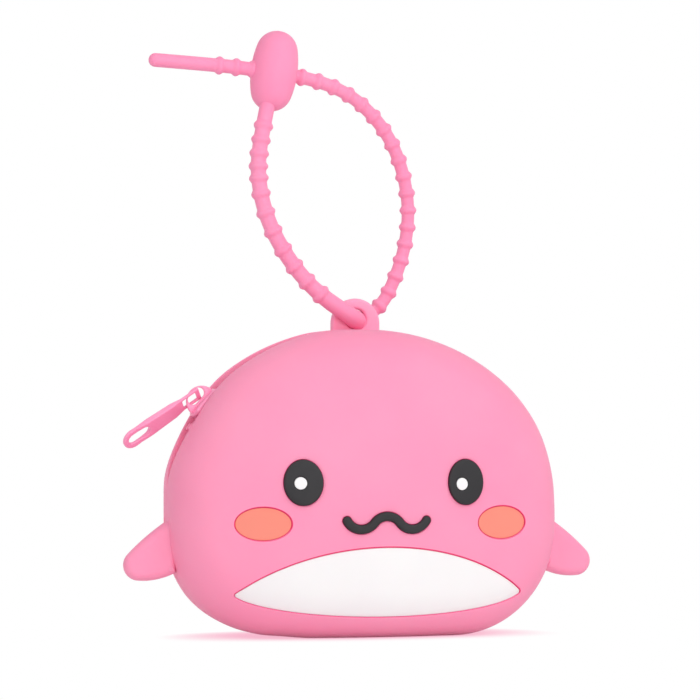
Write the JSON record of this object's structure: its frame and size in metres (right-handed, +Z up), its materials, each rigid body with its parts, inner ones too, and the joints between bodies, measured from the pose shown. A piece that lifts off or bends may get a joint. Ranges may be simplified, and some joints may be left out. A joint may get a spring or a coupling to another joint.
{
  "type": "zip coin purse",
  "caption": "Soft moulded zip coin purse with a plain sea-animal face and side flippers, a slider and pull tab on its top zip, and a ribbed loop strap through an eyelet.",
  "frame": {"origin": "middle of the flat base, in the seam plane", "axes": "+X to the right seen from the front, -Y towards the face, +Z up"},
  "size_m": [0.1296, 0.0509, 0.162],
  "materials": {
    "pink_silicone": "matte",
    "dark_silicone": "matte",
    "white_silicone": "matte",
    "salmon_silicone": "matte",
    "zip_tape": "woven",
    "zip_teeth": "moulded",
    "zip_slider": "satin enamel",
    "strap_silicone": "matte"
  },
  "bodies": {
    "purse": {"front_shell": "pink_silicone", "back_shell": "pink_silicone", "left_flipper": "pink_silicone", "right_flipper": "pink_silicone", "left_eye": "dark_silicone", "right_eye": "dark_silicone", "mouth": "dark_silicone", "left_eye_highlight": "white_silicone", "right_eye_highlight": "white_silicone", "belly_patch": "white_silicone", "left_cheek": "salmon_silicone", "right_cheek": "salmon_silicone", "front_zip_tape": "zip_tape", "back_zip_tape": "zip_tape", "front_zip_teeth": "zip_teeth", "back_zip_teeth": "zip_teeth", "zip_top_stops": "zip_teeth", "zip_bottom_stop": "zip_teeth"},
    "slider": {"slider_body": "zip_slider"},
    "pull": {"pull_tab": "zip_slider"},
    "strap": {"strap_head": "strap_silicone", "strap_cord": "strap_silicone"}
  },
  "joints": [
    {"name": "slider_travel", "type": "hinge", "parent": "purse", "child": "slider", "pos_m": [0, 0, 0.023], "axis": [0, 1, 0], "range_deg": [0, 95], "deforming": ["front_zip_teeth", "back_zip_teeth"]},
    {"name": "pull_swing", "type": "hinge", "parent": "slider", "child": "pull", "pos_m": [-0.04462, 0, 0.06438], "axis": [0, 1, 0], "range_deg": [0, 150]},
    {"name": "strap_swing", "type": "hinge", "parent": "purse", "child": "strap", "pos_m": [0.0012, 0.01, 0.0844], "axis": [0, 1, 0], "range_deg": [-35, 35]}
  ]
}
